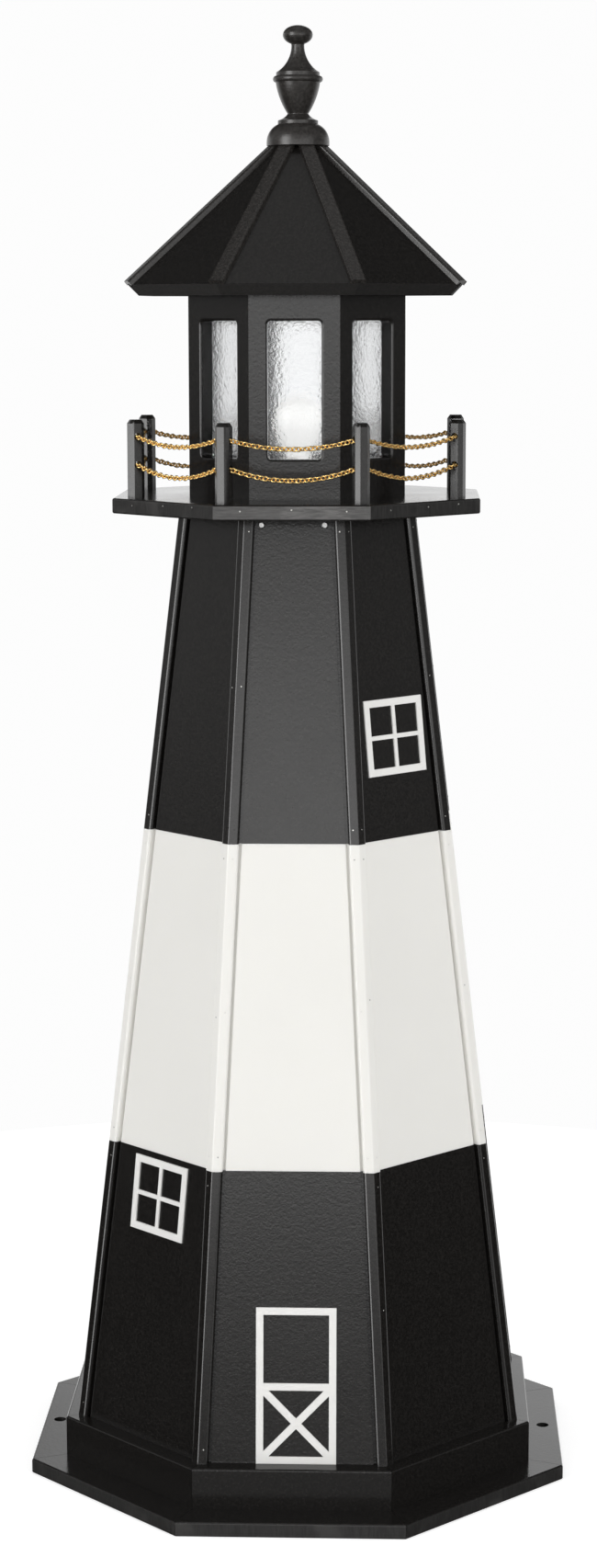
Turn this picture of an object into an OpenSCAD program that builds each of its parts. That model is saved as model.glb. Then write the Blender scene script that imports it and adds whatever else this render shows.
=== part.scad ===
// Garden lighthouse: an octagonal tower of plastic sheet in black and white,
// with a railed gallery, a lit lantern room that lifts off, and a turned finial.
// Millimetres, +Z up, origin under the centre of the base, side 1 faces -Y.

/* [Stock] */
// Thickness of the sheet that the tower, decks and roof are cut from
board_t = 19; // [15:1:22]
// Rounding of the routed board edges
ease_r = 2.5; // [1:0.5:4]
// Gap left at the mitres of the base and skirt boards
mitre_gap = 0.5; // [0.2:0.1:0.8]

/* [Base] */
// How far the base stands out from the skirt
base_out = 43; // [36:1:60]
// Width of each base board
base_board_w = 89; // [80:1:100]
// Diameter of the two anchor holes
anchor_hole_d = 16; // [8:1:20]
// Distance of an anchor hole's centre from the base's edge
anchor_inset = 20; // [16:1:24]
// How far the skirt stands out from the corner trims' feet
skirt_out = 15; // [10:1:24]
// Height of the skirt boards
skirt_h = 51; // [40:1:70]

/* [Tower] */
// Width across flats of the corner trims where they stand on the skirt
tower_flats = 564; // [552:2:570]
// Width across flats of the corner trims under the deck
tower_top_flats = 294; // [270:2:320]
// Height of the tower above the skirt
tower_h = 1157; // [960:1:1400]
// Height of the white band's lower edge above the skirt
band_bottom = 360; // [300:5:420]
// Height of the white band's upper edge above the skirt
band_top = 760; // [640:5:820]
// Width of each leg of a corner trim
trim_w = 13; // [10:0.5:18]
// How far the corner trims stand proud of the panels
trim_proud = 6; // [4:0.5:8]
// Depth of the rabbet that a corner trim sits in
trim_rabbet = 3; // [2:0.5:5]
// Shadow gap between a corner trim and the panel beside it
trim_gap = 3.5; // [2:0.5:5]

/* [Door and windows] */
// Width of the door and of the mock windows
opening_w = 99; // [80:1:120]
// Height of the door
door_h = 194; // [170:2:220]
// Height of a mock window
window_h = 94; // [80:1:110]
// Distance of the door's middle from the front side's middle
door_x = 4.5; // [0:0.5:12]
// Distance of the upper window's top below the deck
upper_drop = 225; // [190:5:280]
// Height of the lower window's sill above the skirt
lower_sill = 259; // [240:2:262]
// Width of the frame strips
frame_w = 9; // [7:0.5:12]
// Width of the window bars
bar_w = 5.5; // [4:0.5:7]
// Thickness of the white trim
white_t = 2; // [1.5:0.5:6]

/* [Gallery] */
// Width of the deck across flats
deck_flats = 454; // [440:2:480]
// Side of the square railing posts
post_w = 19; // [16:0.5:22]
// Height of the posts above the deck
post_h = 96; // [86:1:120]
// Distance of a post's centre from the deck's corner, along the diagonal
post_inset = 31; // [26:1:38]
// Height of the upper chain's holes above the deck
upper_hole_h = 75; // [66:1:80]
// Height of the lower chain's holes above the deck
lower_hole_h = 40.5; // [34:0.5:50]
// Sag of the upper chain between two posts
upper_sag = 10.5; // [6:0.5:16]
// Sag of the lower chain between two posts
lower_sag = 13.5; // [8:0.5:20]
// Outer diameter of the chain's round links
link_d = 8.2; // [7:0.1:9]
// Wire of the chain's links
link_wire = 1.5; // [1.1:0.1:1.6]

/* [Lantern room] */
// Width of the lantern room across flats
lantern_flats = 268; // [256:2:288]
// Height of the lantern room's walls
lantern_h = 278; // [250:1:300]
// Width of a window opening
glass_w = 66; // [56:1:72]
// Height of a window opening
glass_h = 167; // [145:1:180]
// Height of the window openings above the deck
glass_sill = 49; // [42:1:60]
// Corner radius of the window openings
glass_r = 5; // [3:0.5:8]
// Rounding of the window openings' outer edges
glass_ease = 3; // [1:0.5:5]
// Thickness of the window panes
pane_t = 3; // [2:0.5:5]
// How far a pane laps the wall above and below its opening
pane_lap = 11; // [6:0.5:14]
// How far a pane stops short of the room's inner corners
pane_short = 2.5; // [1:0.5:5]

/* [Roof] */
// Width of the eaves across flats
eave_flats = 409; // [380:1:430]
// Slope of the roof in degrees
roof_slope = 43.8; // [40:0.2:46]
// Width across flats of the flat at the peak
peak_flats = 55; // [50:1:64]
// Width of the hip battens
batten_w = 19; // [15:1:22]
// Thickness of the hip battens over the ridge
batten_t = 4.5; // [3:0.5:6]
// How far the hip battens stop short of the eave corners
batten_short = 1; // [0:1:12]
// How far the roof sits turned on the lantern room, in degrees
roof_turn = -1.5; // [-3:0.5:3]

/* [Finial] */
// Height of the finial above the roof
finial_h = 146; // [130:1:170]
// Radius of the finial's foot
finial_foot_r = 39; // [34:0.5:44]
// Radius of the finial's ball
ball_r = 18.5; // [15:0.5:22]
// Radius of the finial's urn at its rim
urn_r = 27.5; // [24:0.5:30]
// Radius of the finial's dowel
dowel_r = 9.5; // [7:0.5:11]

/* [Lamp] */
// Radius of the bulb
bulb_r = 30; // [24:1:34]
// Height of the bulb's middle above the deck
bulb_mid = 92; // [84:1:130]
// Radius of the lamp holder
holder_r = 22; // [19:0.5:26]
// Clearance around the deck's cleat inside the tower
cleat_play = 2.5; // [1.5:0.5:4]
// Thickness of the deck's cleat
cleat_t = 25; // [20:1:32]

/* [Hidden] */
$fn = 48;
t8 = tan(22.5); // half a side of an octagon over its apothem
clear = 0.3;    // gap around pieces that are fitted loose
far = 600;      // beyond the object's outline

// heights of the storeys
z_base = board_t;
z_skirt = z_base + skirt_h;
z_band = z_skirt + band_bottom;
z_upper = z_skirt + band_top;
z_deck = z_skirt + tower_h;
z_floor = z_deck + board_t;
z_wall = z_floor + lantern_h;

// the skirt and the base, out from the axis
skirt_a = tower_flats / 2 + skirt_out;
base_a = skirt_a + base_out;

// the tower's taper
taper = atan((tower_flats - tower_top_flats) / 2 / tower_h);
function level(t) = t / cos(taper); // a thickness square to a side, measured level
function trim_a(z) = tower_flats / 2 - (z - z_skirt) * tan(taper);
function panel_a(z) = trim_a(z) - level(trim_proud);
function inner_a(z) = panel_a(z) - level(board_t);
function rabbet_a(z) = panel_a(z) - level(trim_rabbet);

// the roof: top face at radius r, and the apothems of its two faces at height z
roof_seat = 12; // height over the walls of the plate that carries the roof
eave_a = eave_flats / 2;
lap_a = lantern_flats / 2 + 12; // where the plate's upper edge meets the roof's underside
z_eave = z_wall + roof_seat + board_t / cos(roof_slope) - (eave_a - lap_a) * tan(roof_slope);
z_peak = z_eave + (eave_a - peak_flats / 2) * tan(roof_slope);
function roof_a(z) = eave_a - (z - z_eave) / tan(roof_slope);
function under_a(z) = roof_a(z) - board_t / sin(roof_slope);

// the lamp, from the platform up to the bulb's top
z_bulb = z_floor + bulb_mid;
z_holder = z_bulb - 100;
holder_h = 50;
lamp_hole_r = bulb_r + 30; // the bulb passes through the deck when the top is lifted off
platform_top = z_deck - cleat_t - 14;
cord_hole_d = 12;
riser_r = 13;
vent_ring = 58; // from the axis to the middle of the platform's vent holes

// the posts and the openings between them
corner_r = deck_flats / 2 / cos(22.5);
post_ring = corner_r - post_inset;
link_play = 0.3;    // free play of one link in the next
hole_play = 1.2;    // of a link in a post's hole
screw_r = 2;
screw_x = [-40, 37]; // the two screws, off the front side's middle
screw_drop = 11;     // below the deck

// three strips of panel and of corner trim, bottom to top
panel_strips = [[z_base, z_band], [z_band, z_upper], [z_upper, z_deck]];
trim_strips = [[z_skirt, z_band], [z_band, z_upper], [z_upper, z_deck - clear]];

black = [0.12, 0.12, 0.12];
white = [0.93, 0.92, 0.88];
brass = [0.80, 0.60, 0.22];
timber = [0.55, 0.52, 0.46];

// ---- shared forms ----

// points of a polygon with the corners named in "which" rounded to radius r
function rounded(pts, r, which) = [
    for (i = [0:len(pts) - 1])
        let (n = len(pts), p = pts[i], a = pts[(i + n - 1) % n] - p, b = pts[(i + 1) % n] - p,
            ua = a / norm(a), ub = b / norm(b), half = acos(ua * ub) / 2,
            mid = (ua + ub) / norm(ua + ub), centre = p + mid * r / sin(half),
            from = p + ua * r / tan(half) - centre, to = p + ub * r / tan(half) - centre,
            steps = 4)
        each len([for (w = which) if (w == i) w]) == 0 ? [p]
            : [for (s = [0:steps])
                let (m = from * (1 - s / steps) + to * (s / steps)) centre + m / norm(m) * r]
];

// turns a piece drawn for the front side to side k, counted from 0
module on_side(k) rotate(45 * k) children();

// a piece of constant profile along the front side; the profile is [distance from the axis, z]
module run(profile)
    rotate([90, 0, -90]) linear_extrude(height = 2 * far * t8, center = true) polygon(profile);

// the eighth of the ground plan that belongs to the front side, less half a mitre gap
module wedge(z0, z1, gap = 0)
    translate([0, -gap / 2 / sin(22.5), z0]) linear_extrude(z1 - z0)
        polygon([[0, 0], [-far * t8, -far], [far * t8, -far]]);

// a board of the front side, mitred to its neighbours
module mitred(profile, gap = 0) {
    heights = [for (p = profile) p.y];
    intersection() {
        run(profile);
        wedge(min(heights) - 1, max(heights) + 1, gap);
    }
}

// an octagonal solid whose outline is mirrored across the axis; half is [distance, z] points
module octagonal(half) {
    outline = concat(half, [for (i = [len(half) - 1:-1:0]) [-half[i].x, half[i].y]]);
    intersection_for (k = [0:3]) rotate([0, 0, 45 * k]) rotate([90, 0, 0])
        linear_extrude(height = 2 * far, center = true) polygon(outline);
}

// outline of a band of the front side, from z0 to z1, that narrows with the tower:
// "inset" is how far its two edges stay inside the corner trims' outer corners
module front_band(z0, z1, inset)
    rotate([90, 0, 0]) linear_extrude(far) polygon([
        [-trim_a(z0) * t8 + inset, z0], [trim_a(z0) * t8 - inset, z0],
        [trim_a(z1) * t8 - inset, z1], [-trim_a(z1) * t8 + inset, z1]]);

// ---- base and skirt ----

module base_board()
    mitred(rounded([[base_a - base_board_w, 0], [base_a, 0], [base_a, z_base],
        [base_a - base_board_w, z_base]], ease_r, [1, 2]), mitre_gap);

module base_boards() color(black)
    for (k = [0:7]) on_side(k) difference() {
        base_board();
        if (k % 4 == 2) translate([0, anchor_inset - base_a, -1])
            cylinder(h = z_base + 2, d = anchor_hole_d);
    }

module skirt_boards() color(black)
    for (k = [0:7]) on_side(k)
        mitred(rounded([[panel_a(z_base) + clear, z_base], [skirt_a, z_base], [skirt_a, z_skirt],
            [panel_a(z_skirt) + clear, z_skirt]], ease_r, [2]), mitre_gap);

// ---- tower ----

module panel(strip) {
    z0 = strip[0];
    z1 = strip[1];
    difference() {
        mitred([[inner_a(z0), z0], [panel_a(z0), z0], [panel_a(z1), z1], [inner_a(z1), z1]]);
        difference() {
            run([[rabbet_a(z0 - 1), z0 - 1], [far, z0 - 1], [far, z1 + 1],
                [rabbet_a(z1 + 1), z1 + 1]]);
            front_band(z0 - 2, z1 + 2, trim_w + trim_gap);
        }
    }
}

// half of a corner trim: the leg on the front side's right edge
module trim_leg(strip) {
    z0 = strip[0];
    z1 = strip[1];
    difference() {
        mitred([[rabbet_a(z0), z0], [trim_a(z0), z0], [trim_a(z1), z1], [rabbet_a(z1), z1]]);
        front_band(z0 - 2, z1 + 2, trim_w);
        translate([-far, -far, z0 - 1]) cube([far, far, z1 - z0 + 2]);
    }
}

module corner_trims(strip)
    for (k = [0:7]) on_side(k) {
        trim_leg(strip);
        on_side(1) mirror([1, 0, 0]) trim_leg(strip);
    }

module lower_panel(k) color(black) on_side(k - 1) panel(panel_strips[0]);
module band_panels() color(white) for (k = [0:7]) on_side(k) panel(panel_strips[1]);

module upper_panel(k) color(black) on_side(k - 1) difference() {
    panel(panel_strips[2]);
    if (k == 1) for (x = screw_x) translate([x, 0, z_deck - screw_drop])
        rotate([90, 0, 0]) cylinder(h = far, r = screw_r + 0.1);
}

module lower_corner_trims() color(black) corner_trims(trim_strips[0]);
module band_corner_trims() color(white) corner_trims(trim_strips[1]);
module upper_corner_trims() color(black) corner_trims(trim_strips[2]);

// ---- door and windows, planted on the panels ----

// places a flat piece on side k at height z, drawn in x and y with its thickness in z
module on_face(k, z)
    on_side(k) translate([0, -panel_a(z), z]) rotate([90 - taper, 0, 0]) children();

module strip_frame(w, h)
    difference() {
        translate([-w / 2, 0, 0]) cube([w, h, white_t]);
        translate([-w / 2 + frame_w, frame_w, -1])
            cube([w - 2 * frame_w, h - 2 * frame_w, white_t + 2]);
    }

module window_trim() {
    strip_frame(opening_w, window_h);
    translate([-bar_w / 2, frame_w, 0]) cube([bar_w, window_h - 2 * frame_w, white_t]);
    translate([-opening_w / 2 + frame_w, (window_h - bar_w) / 2, 0])
        cube([opening_w - 2 * frame_w, bar_w, white_t]);
}

module door_trim() color(white) on_face(0, z_skirt) translate([door_x, 0, 0]) {
    inside_w = opening_w - 2 * frame_w;
    rail_y = door_h * 0.47;
    brace_h = rail_y - frame_w;
    brace = atan(brace_h / inside_w);
    strip_frame(opening_w, door_h);
    translate([-opening_w / 2 + 1, rail_y, 0]) cube([opening_w - 2, frame_w, white_t]);
    intersection() {
        translate([-inside_w / 2 - 1, frame_w - 1, 0]) cube([inside_w + 2, brace_h + 2, white_t]);
        union() for (side = [-1, 1]) translate([0, frame_w + brace_h / 2, white_t / 2])
            rotate(side * brace) cube([2 * opening_w, frame_w, white_t], center = true);
    }
}

module upper_window_trim() color(white) on_face(1, z_deck - upper_drop - window_h) window_trim();
module lower_window_trim() color(white) on_face(-1, z_skirt + lower_sill) window_trim();

// ---- inside the tower ----

former_w = 45; // width of the ring that a former leaves round its hole

// an octagonal plate that fits the tower's inside from z to z + board_t
module inner_plate(z)
    octagonal([[inner_a(z) - clear, z], [inner_a(z + board_t) - clear, z + board_t]]);

module former(z) difference() {
    inner_plate(z - board_t / 2);
    translate([0, 0, z - board_t]) cylinder(h = 2 * board_t, r = inner_a(z) - former_w);
}

module lower_former() color(timber) former(z_band);
module upper_former() color(timber) former(z_upper);

module lamp_platform() color(timber) difference() {
    inner_plate(platform_top - board_t);
    translate([0, 0, platform_top - 2 * board_t]) cylinder(h = 3 * board_t, d = cord_hole_d);
    for (k = [0:3]) rotate(90 * k + 45) translate([vent_ring, 0, platform_top - 2 * board_t])
        cylinder(h = 3 * board_t, d = 2 * cord_hole_d);
}

module lamp_riser() color("silver") translate([0, 0, platform_top])
    rotate_extrude() difference() {
        union() {
            square([riser_r, z_holder - platform_top]);
            square([2 * riser_r, 4]);
        }
        translate([-1, -1]) square([cord_hole_d / 2 + 1, z_holder - platform_top + 2]);
    }

bulb_base_r = 13;
module lamp_holder() color("white") translate([0, 0, z_holder])
    rotate_extrude() polygon([[cord_hole_d / 2, 0], [holder_r, 0], [holder_r, holder_h - 8],
        [holder_r - 2, holder_h], [bulb_base_r + clear, holder_h],
        [bulb_base_r + clear, holder_h - 27], [cord_hole_d / 2, holder_h - 27]]);

module bulb() color("ivory") {
    neck_z = z_holder + holder_h - z_bulb;
    translate([0, 0, z_bulb]) rotate_extrude() intersection() {
        union() {
            circle(bulb_r);
            polygon([[0, neck_z], [bulb_base_r, neck_z],
                [bulb_r * cos(30), -bulb_r * sin(30)], [0, -bulb_r * sin(30)]]);
            translate([0, neck_z - 26.5]) square([bulb_base_r, 27]);
        }
        translate([0, -far]) square([far, 2 * far]);
    }
}

// pan-head screws, with a cross recess, through the front panel into open slots of the deck's cleat
screw_head_t = 2.4;
module retaining_screws() color("silver")
    for (x = screw_x) translate([x, -panel_a(z_deck - screw_drop), z_deck - screw_drop])
        rotate([90 - taper, 0, 0]) {
            difference() {
                translate([0, 0, 0.05]) cylinder(h = screw_head_t, r1 = 4.2, r2 = 3);
                for (turn = [20, 110]) rotate(turn) translate([-2.2, -0.4, 1])
                    cube([4.4, 0.8, screw_head_t]);
            }
            rotate([taper, 0, 0]) translate([0, 0, -board_t - 14])
                cylinder(h = board_t + 14, r = screw_r);
        }

// ---- gallery ----

module deck() color(black) difference() {
    octagonal(rounded([[0, z_deck], [deck_flats / 2, z_deck], [deck_flats / 2, z_floor],
        [0, z_floor]], ease_r, [1, 2]));
    translate([0, 0, z_deck - 1]) cylinder(h = board_t + 2, r = lamp_hole_r);
}

module deck_cleat() color(timber) {
    a = inner_a(z_deck) - cleat_play;
    difference() {
        octagonal([[a, z_deck - cleat_t], [a, z_deck]]);
        translate([0, 0, z_deck - cleat_t - 1]) cylinder(h = cleat_t + 2, r = lamp_hole_r);
        for (x = screw_x) translate([x - screw_r - 0.5, -far, z_deck - cleat_t - 1])
            cube([2 * screw_r + 1, far, cleat_t - screw_drop + screw_r + 1.5]);
    }
}

module post() {
    w = post_w / 2;
    section = rounded([[-w, -w], [w, -w], [w, w], [-w, w]], ease_r, [0, 1, 2, 3]);
    front = rounded([[-w, 0], [w, 0], [w, post_h], [-w, post_h]], ease_r, [2, 3]);
    difference() {
        intersection() {
            linear_extrude(post_h) polygon(section);
            for (turn = [0, 90]) rotate([90, 0, turn])
                linear_extrude(height = 2 * post_w, center = true) polygon(front);
        }
        for (h = [upper_hole_h, lower_hole_h]) translate([0, 0, h]) rotate([0, 90, 0])
            cylinder(h = 2 * post_w, d = link_d + hole_play, center = true);
    }
}

module posts() color(black)
    for (k = [0:7]) rotate(45 * k + 22.5) translate([0, -post_ring, z_floor]) post();

// ---- chains: round links along a catenary that hangs between the posts' holes ----

// where a chain leaves the hole of the post at the right end of the front side
mouth = [post_ring * sin(22.5) - post_w / 2 * cos(22.5),
    -post_ring * cos(22.5) - post_w / 2 * sin(22.5)];
function cosh(x) = (exp(x) + exp(-x)) / 2;
function sinh(x) = (exp(x) - exp(-x)) / 2;
function asinh(x) = ln(x + sqrt(x * x + 1));

// catenary constant for a sag over the span between the mouths, by repeated correction
function catenary(sag, a, n = 8) =
    n == 0 ? a : catenary(sag, a * a * (cosh(mouth.x / a) - 1) / sag, n - 1);

// point of a chain at length s from the middle of its span; half is the curve's half length
function chain_point(s, a, half) =
    abs(s) <= half
    ? [a * asinh(s / a), mouth.y, sqrt(a * a + s * s) - a * cosh(mouth.x / a)]
    : let (into = abs(s) - half)
      [sign(s) * (mouth.x + into * cos(22.5)), mouth.y + into * sin(22.5), 0];

// eight spans and the stretches in the posts' holes, with an even number of links in each
module chain(sag) {
    a = catenary(sag, mouth.x * mouth.x / 2 / sag);
    half = a * sinh(mouth.x / a);
    total = 2 * half + post_w;
    links = 2 * round(total / 2 / (link_d - 2 * link_wire - link_play));
    pitch = total / links;
    for (k = [0:7], i = [0:links - 1]) {
        s = (i + 0.5) * pitch - total / 2;
        dir = chain_point(s + pitch / 2, a, half) - chain_point(s - pitch / 2, a, half);
        on_side(k) translate(chain_point(s, a, half))
            rotate([0, -atan2(dir.z, norm([dir.x, dir.y])), atan2(dir.y, dir.x)])
                rotate([45 + 90 * (i % 2), 0, 0]) rotate_extrude()
                    translate([(link_d - link_wire) / 2, 0]) circle(d = link_wire);
    }
}

module upper_chain() color(brass) translate([0, 0, z_floor + upper_hole_h]) chain(upper_sag);
module lower_chain() color(brass) translate([0, 0, z_floor + lower_hole_h]) chain(lower_sag);

// ---- lantern room ----

// a plate with round corners in the middle of the front side's window, between two distances
// from the axis
module window_block(from, to, size, r)
    in_wall() translate([0, 0, from]) linear_extrude(to - from) {
        square(size - [2 * r, 0], center = true);
        square(size - [0, 2 * r], center = true);
        for (x = [-1, 1], y = [-1, 1]) translate([x * (size.x / 2 - r), y * (size.y / 2 - r)])
            circle(r);
    }

// stands what is drawn flat round the middle of a window up in the front wall
module in_wall() translate([0, 0, z_floor + glass_sill + glass_h / 2]) rotate([90, 0, 0]) children();

// section of what easing takes off an opening's edge; x is away from the opening, y out of the wall
module ease_section() difference() {
    translate([-1, -glass_ease]) square(glass_ease + 1);
    translate([glass_ease, -glass_ease]) circle(glass_ease);
}

// that section run along the four sides and round the four corners
module ease_ring(a)
    for (k = [0:3]) rotate(90 * k) {
        half = k % 2 == 0 ? [glass_w / 2, glass_h / 2] : [glass_h / 2, glass_w / 2];
        translate([half.x, half.y - glass_r, a]) rotate([90, 0, 0])
            linear_extrude(2 * (half.y - glass_r)) ease_section();
        translate([half.x - glass_r, half.y - glass_r, a])
            rotate_extrude(angle = 90) translate([glass_r, 0]) ease_section();
    }

module lantern_wall(k) color(black) on_side(k - 1) {
    a = lantern_flats / 2;
    difference() {
        mitred([[a - board_t, z_floor], [a, z_floor], [a, z_wall], [a - board_t, z_wall]]);
        window_block(a - 2 * board_t, a + board_t, [glass_w, glass_h], glass_r);
        in_wall() ease_ring(a);
    }
}

module window_panes() color("azure", 0.4) {
    outer = lantern_flats / 2 - board_t;
    size = [2 * (outer - pane_t) * t8 - 2 * pane_short, glass_h + 2 * pane_lap];
    for (k = [0:7]) on_side(k) window_block(outer - pane_t, outer, size, 1);
}

// ---- roof ----

// turns the roof as it sits on the lantern room
module as_seated() rotate(roof_turn) children();

// plate on the walls whose edge is bevelled to the roof's underside
module roof_plate() color(timber) as_seated() octagonal([
    [under_a(z_wall), z_wall], [under_a(z_wall + roof_seat), z_wall + roof_seat]]);

// block under the peak that the panels meet on and the finial's dowel goes into
hub_top = z_peak - 34;
hub_t = 40;
module roof_hub() color(timber) as_seated() difference() {
    octagonal([[under_a(hub_top - hub_t), hub_top - hub_t], [under_a(hub_top), hub_top]]);
    translate([0, 0, hub_top - hub_t - 1]) cylinder(h = hub_t + 2, r = dowel_r + 0.1);
}

module roof_panel(k) color(black) as_seated() on_side(k - 1) {
    drop = board_t * [sin(roof_slope), cos(roof_slope)]; // top face to underside, square to it
    bore = dowel_r + 2.5;
    mitred([[eave_a, z_eave], [eave_a - drop.x, z_eave - drop.y],
        [bore, z_eave + (eave_a - board_t / sin(roof_slope) - bore) * tan(roof_slope)],
        [bore, z_peak], [peak_flats / 2, z_peak]]);
}

module hip_battens() color(black) {
    hip = atan(tan(roof_slope) * cos(22.5));
    eave_r = eave_a / cos(22.5);
    length = (eave_r - peak_flats / 2 / cos(22.5)) / cos(hip) - batten_short;
    section = rounded([[-batten_w / 2, -batten_w], [batten_w / 2, -batten_w],
        [batten_w / 2, batten_t], [-batten_w / 2, batten_t]], ease_r, [2, 3]);
    as_seated() for (k = [0:7]) rotate(45 * k + 22.5) difference() {
        translate([0, -eave_r, z_eave]) rotate([hip + 90, 0, 0])
            translate([0, 0, -length - batten_short]) linear_extrude(length) polygon(section);
        rotate(22.5) octagonal([[eave_a + 40, z_eave - 40 * tan(roof_slope)],
            [0, z_eave + eave_a * tan(roof_slope)]]);
        translate([-far, -far, z_peak - clear]) cube(2 * far);
    }
}

// points of an arc of radius r from p to q that turns to the left, or to the right if r is negative
function bow(p, q, r, n = 10) =
    let (d = q - p, mid = (p + q) / 2, h = sqrt(r * r - d * d / 4) * sign(r) / norm(d),
        centre = mid + h * [-d.y, d.x], from = p - centre, turn = 2 * asin(norm(d) / 2 / r))
    [for (i = [0:n]) let (a = turn * i / n)
        centre + [from.x * cos(a) - from.y * sin(a), from.x * sin(a) + from.y * cos(a)]];

// turned finial: dome and collar, an urn with a beaded rim, a hollow neck and a flat ball
module finial() color(black) {
    dome_h = 26;
    collar_r = 25;
    waist = [13, dome_h + 12.5];
    rim = [urn_r, waist.y + 38];
    neck_r = 8;
    neck_z = rim.y + 13;
    ball_h = 24;
    ball_z = finial_h - ball_h;
    translate([0, 0, z_peak]) rotate_extrude() {
        polygon(concat(
            [[0, 0], [finial_foot_r, 0]],
            bow([finial_foot_r, 4], [collar_r + 0.3, dome_h], 24),
            [[collar_r, dome_h + 0.5], [collar_r, dome_h + 4.5]],
            bow([collar_r - 0.8, dome_h + 5], waist, -20, 6),
            bow(waist + [0, 0.5], rim, 94),
            bow(rim + [0, 0.2], rim + [-0.4, 8.2], 4.02),
            [[urn_r - 0.6, neck_z - 0.5]],
            bow([urn_r - 1.5, neck_z], [neck_r, ball_z + 0.2], -37.4),
            [for (a = [-62:8:90]) [ball_r * cos(a), ball_z + ball_h / 2 * (1 + sin(a))]]));
        translate([0, -60]) square([dowel_r, 61]);
    }
}

base_boards();
skirt_boards();
for (k = [1:8]) {
    lower_panel(k);
    upper_panel(k);
    lantern_wall(k);
    roof_panel(k);
}
band_panels();
lower_corner_trims();
band_corner_trims();
upper_corner_trims();
door_trim();
upper_window_trim();
lower_window_trim();
lower_former();
upper_former();
lamp_platform();
lamp_riser();
lamp_holder();
bulb();
retaining_screws();
deck();
deck_cleat();
posts();
upper_chain();
lower_chain();
window_panes();
roof_plate();
roof_hub();
hip_battens();
finial();
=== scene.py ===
"""Garden lighthouse: board finishes, chains, rippled panes, nails and the studio, round the packed model."""

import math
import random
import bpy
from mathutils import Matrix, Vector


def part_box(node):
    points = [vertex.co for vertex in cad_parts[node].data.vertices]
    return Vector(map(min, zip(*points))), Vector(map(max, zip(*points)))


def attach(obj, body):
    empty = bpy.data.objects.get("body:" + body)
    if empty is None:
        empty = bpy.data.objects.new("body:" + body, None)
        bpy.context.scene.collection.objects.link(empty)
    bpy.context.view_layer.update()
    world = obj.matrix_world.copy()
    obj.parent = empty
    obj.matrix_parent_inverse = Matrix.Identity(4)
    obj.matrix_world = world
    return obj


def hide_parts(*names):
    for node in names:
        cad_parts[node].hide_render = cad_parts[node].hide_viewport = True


bl_info = {
    "name": "Garden lighthouse",
    "version": (1, 0, 0),
    "blender": (4, 5, 0),
    "location": "3D View > Sidebar > Lighthouse",
    "description": "Finishes a garden lighthouse of plastic board and sets it in a white studio",
    "category": "Object",
}

from collections import namedtuple

import bmesh
import bpy
from bpy.props import FloatProperty, FloatVectorProperty, PointerProperty
from mathutils import Matrix, Vector, noise

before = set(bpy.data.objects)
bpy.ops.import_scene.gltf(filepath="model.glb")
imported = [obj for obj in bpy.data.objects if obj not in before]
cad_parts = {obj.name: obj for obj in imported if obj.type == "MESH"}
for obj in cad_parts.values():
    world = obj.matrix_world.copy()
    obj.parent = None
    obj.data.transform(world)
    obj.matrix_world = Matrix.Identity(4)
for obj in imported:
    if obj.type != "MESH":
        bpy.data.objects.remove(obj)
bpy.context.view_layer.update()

SIDES = 8
SIDE_TURN = 2 * math.pi / SIDES
HALF_SIDE = math.tan(SIDE_TURN / 2)  # half a side of an octagon over its apothem
MM = 0.001

# the tower's taper, from the feet of its lower and its upper corner trims
LOWER_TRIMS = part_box("lower_corner_trims")
UPPER_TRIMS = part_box("upper_corner_trims")
LEAN = (LOWER_TRIMS[1].x - UPPER_TRIMS[1].x) / (UPPER_TRIMS[0].z - LOWER_TRIMS[0].z)
TAPER = math.atan(LEAN)

# sizes of the packed pieces that no box gives
POST_W = 19 * MM
POST_EASE = 2.5 * MM
PACKED_WIRE = 1.5 * MM
LINK_PLAY = 0.3 * MM
OPENING_W = 66 * MM
OPENING_H = 167 * MM
BULB_CAP_H = 27 * MM

# measures for the work on the packed meshes
SAME_POINT = 0.02 * MM  # corners as close as this are one
TOUCHING = 0.001 * MM  # nearer to a cut than this is on it
ON_FACE = 0.3 * MM  # nearer to the strips' outer faces than this is on them
FLAT = math.radians(0.5)  # faces that turn by less are one
BROAD_FACE = 1500 * MM * MM  # a strip's face from this area on is shaded flat
UPRIGHT_FROM = 50 * MM  # shorter edges run across the strips

NAIL_STRAY = 12 * MM  # how far a middle nail may be off


# ---- sizes and colours that a user would change ----


class BoardSettings(bpy.types.PropertyGroup):
    """The plastic boards."""

    black: FloatVectorProperty(
        name="Black", description="Colour of the black board's skin", subtype="COLOR",
        default=(0.0058, 0.0052, 0.0047),
    )
    black_worn: FloatVectorProperty(
        name="Black, paler", description="Colour of the paler flecks in the black", subtype="COLOR",
        default=(0.0140, 0.0128, 0.0118),
    )
    black_edge: FloatVectorProperty(
        name="Black edge", description="Colour of the black board's cut edges", subtype="COLOR",
        default=(0.015, 0.0145, 0.014),
    )
    white: FloatVectorProperty(
        name="White", description="Colour of the white board", subtype="COLOR", default=(0.86, 0.85, 0.815)
    )
    pebble: FloatProperty(
        name="Pebble", description="Size of the pebbles in the board's skin", unit="LENGTH", default=2.0 * MM
    )
    relief: FloatProperty(
        name="Relief", description="Height of the pebbles", unit="LENGTH", default=0.09 * MM
    )
    gloss: FloatProperty(
        name="Roughness", description="Roughness of the black board's skin", min=0, max=1, default=0.18
    )


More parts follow.
